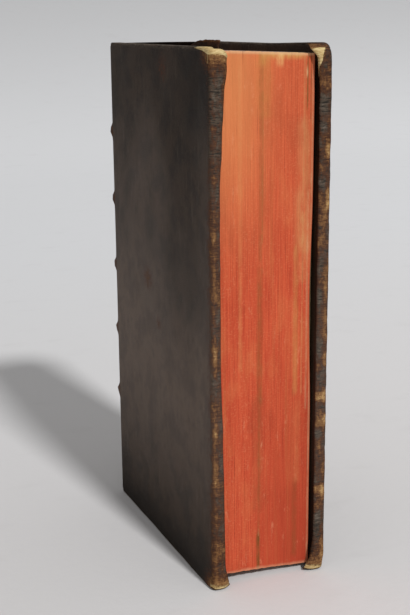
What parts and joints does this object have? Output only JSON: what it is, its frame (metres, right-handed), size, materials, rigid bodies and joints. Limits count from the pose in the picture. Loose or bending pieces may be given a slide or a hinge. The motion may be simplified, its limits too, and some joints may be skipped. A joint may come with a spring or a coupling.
{
  "type": "antique leather book",
  "caption": "Small thick antique book in worn dark calf over laced pasteboards, with raised bands on the spine and red-stained leaf edges; both covers open.",
  "frame": {"origin": "on the surface it stands on, below the middle of the closed book's footprint", "axes": "+Z from tail to head, -Y towards the fore edge, +Y towards the spine, -X towards the front cover, +X towards the rear cover"},
  "size_m": [0.04, 0.0961, 0.17],
  "materials": {
    "page_edges": "laid rag paper, edges stained red and rubbed",
    "endpaper": "laid rag paper, toned with age",
    "lining_paper": "glued paper",
    "hemp_cord": "hemp cord, glued",
    "endband_thread": "sewn linen thread",
    "pasteboard": "rough pasteboard",
    "cover_calf": "dark calf, dry, worn to brown fibres at the edges",
    "spine_calf": "dark calf over raised bands, worn on the bands"
  },
  "bodies": {
    "book_block": {"text_block": "page_edges", "front_flyleaf": "endpaper", "rear_flyleaf": "endpaper", "band_cord_1": "hemp_cord", "band_cord_2": "hemp_cord", "band_cord_3": "hemp_cord", "band_cord_4": "hemp_cord", "band_cord_5": "hemp_cord", "spine_lining_1": "lining_paper", "spine_lining_2": "lining_paper", "spine_lining_3": "lining_paper", "spine_lining_4": "lining_paper", "spine_lining_5": "lining_paper", "spine_lining_6": "lining_paper", "head_band": "endband_thread", "tail_band": "endband_thread", "spine_leather": "spine_calf"},
    "front_cover": {"front_board": "pasteboard", "front_cover_leather": "cover_calf", "front_pastedown": "endpaper", "front_slip_1": "hemp_cord", "front_slip_2": "hemp_cord", "front_slip_3": "hemp_cord", "front_slip_4": "hemp_cord", "front_slip_5": "hemp_cord"},
    "rear_cover": {"rear_board": "pasteboard", "rear_cover_leather": "cover_calf", "rear_pastedown": "endpaper", "rear_slip_1": "hemp_cord", "rear_slip_2": "hemp_cord", "rear_slip_3": "hemp_cord", "rear_slip_4": "hemp_cord", "rear_slip_5": "hemp_cord"}
  },
  "joints": [
    {"name": "front_cover_hinge", "type": "hinge", "parent": "book_block", "child": "front_cover", "pos_m": [-0.0204, 0.03945, 0.085], "axis": [0, 0, -1], "range_deg": [0, 180]},
    {"name": "rear_cover_hinge", "type": "hinge", "parent": "book_block", "child": "rear_cover", "pos_m": [0.0204, 0.03945, 0.085], "axis": [0, 0, 1], "range_deg": [0, 180]}
  ]
}
